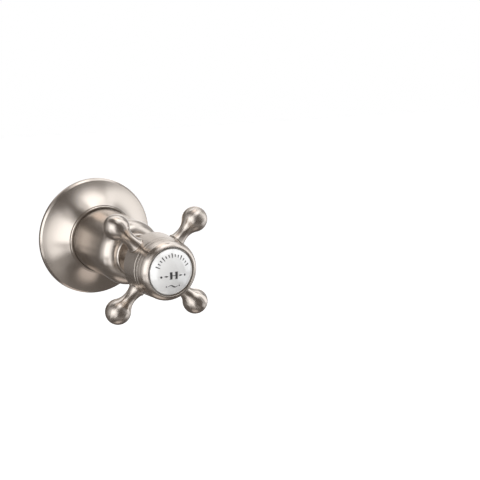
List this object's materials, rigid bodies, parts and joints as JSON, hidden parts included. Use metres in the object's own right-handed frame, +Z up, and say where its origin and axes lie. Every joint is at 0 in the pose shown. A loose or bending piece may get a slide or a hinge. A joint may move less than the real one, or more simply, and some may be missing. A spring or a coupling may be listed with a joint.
{
  "type": "concealed stop valve",
  "caption": "Wall-mounted concealed stop valve with a bell-shaped flange, a plain sleeve with a rounded shoulder and a cross handle with ball-ended arms and a domed white index.",
  "frame": {"origin": "the valve's axis on the finished wall, which is the plane of the flange's back face", "axes": "-Y points out of the wall along the valve's axis to the handle, +Y into the wall, +Z up along the pipe ports, +X to the right as seen from the front"},
  "size_m": [0.066, 0.1301, 0.066],
  "materials": {
    "satin_nickel": "satin nickel plate on brass",
    "raw_brass": "cast and turned, unplated",
    "porcelain": "glazed white porcelain, opaque",
    "disc_ceramic": "ground alumina, opaque",
    "black_rubber": "smooth",
    "black_nylon": "moulded",
    "white_nylon": "moulded",
    "grey_foam": "closed-cell foam",
    "steel": "stainless"
  },
  "bodies": {
    "valve": {"valve_body": "raw_brass", "disc_seal": "black_rubber", "fixed_disc": "disc_ceramic", "glide_washer": "white_nylon", "headwork": "raw_brass", "headwork_ring": "black_rubber", "sleeve_carrier": "raw_brass", "lock_nut": "raw_brass", "sleeve": "satin_nickel", "stem_guide": "black_nylon"},
    "handle_set": {"moving_disc": "disc_ceramic", "spindle": "raw_brass", "spindle_rings": "black_rubber", "spindle_clip": "steel", "stop_ring": "raw_brass", "stem": "satin_nickel", "grub_screw": "steel", "handle": "satin_nickel", "spline_bush": "raw_brass", "screw_washer": "steel", "handle_screw": "steel", "index_bezel": "satin_nickel", "index_disc": "porcelain", "index_cushion": "grey_foam"},
    "flange_set": {"wall_flange": "satin_nickel", "flange_ring": "black_rubber", "flange_gasket": "grey_foam"}
  },
  "joints": [
    {"name": "handle_turn", "type": "hinge", "parent": "valve", "child": "handle_set", "pos_m": [0, 0, 0], "axis": [0, -1, 0], "range_deg": [0, 90]},
    {"name": "flange_slide", "type": "slide", "parent": "valve", "child": "flange_set", "axis": [0, -1, 0], "range_m": [0, 0.02]}
  ]
}
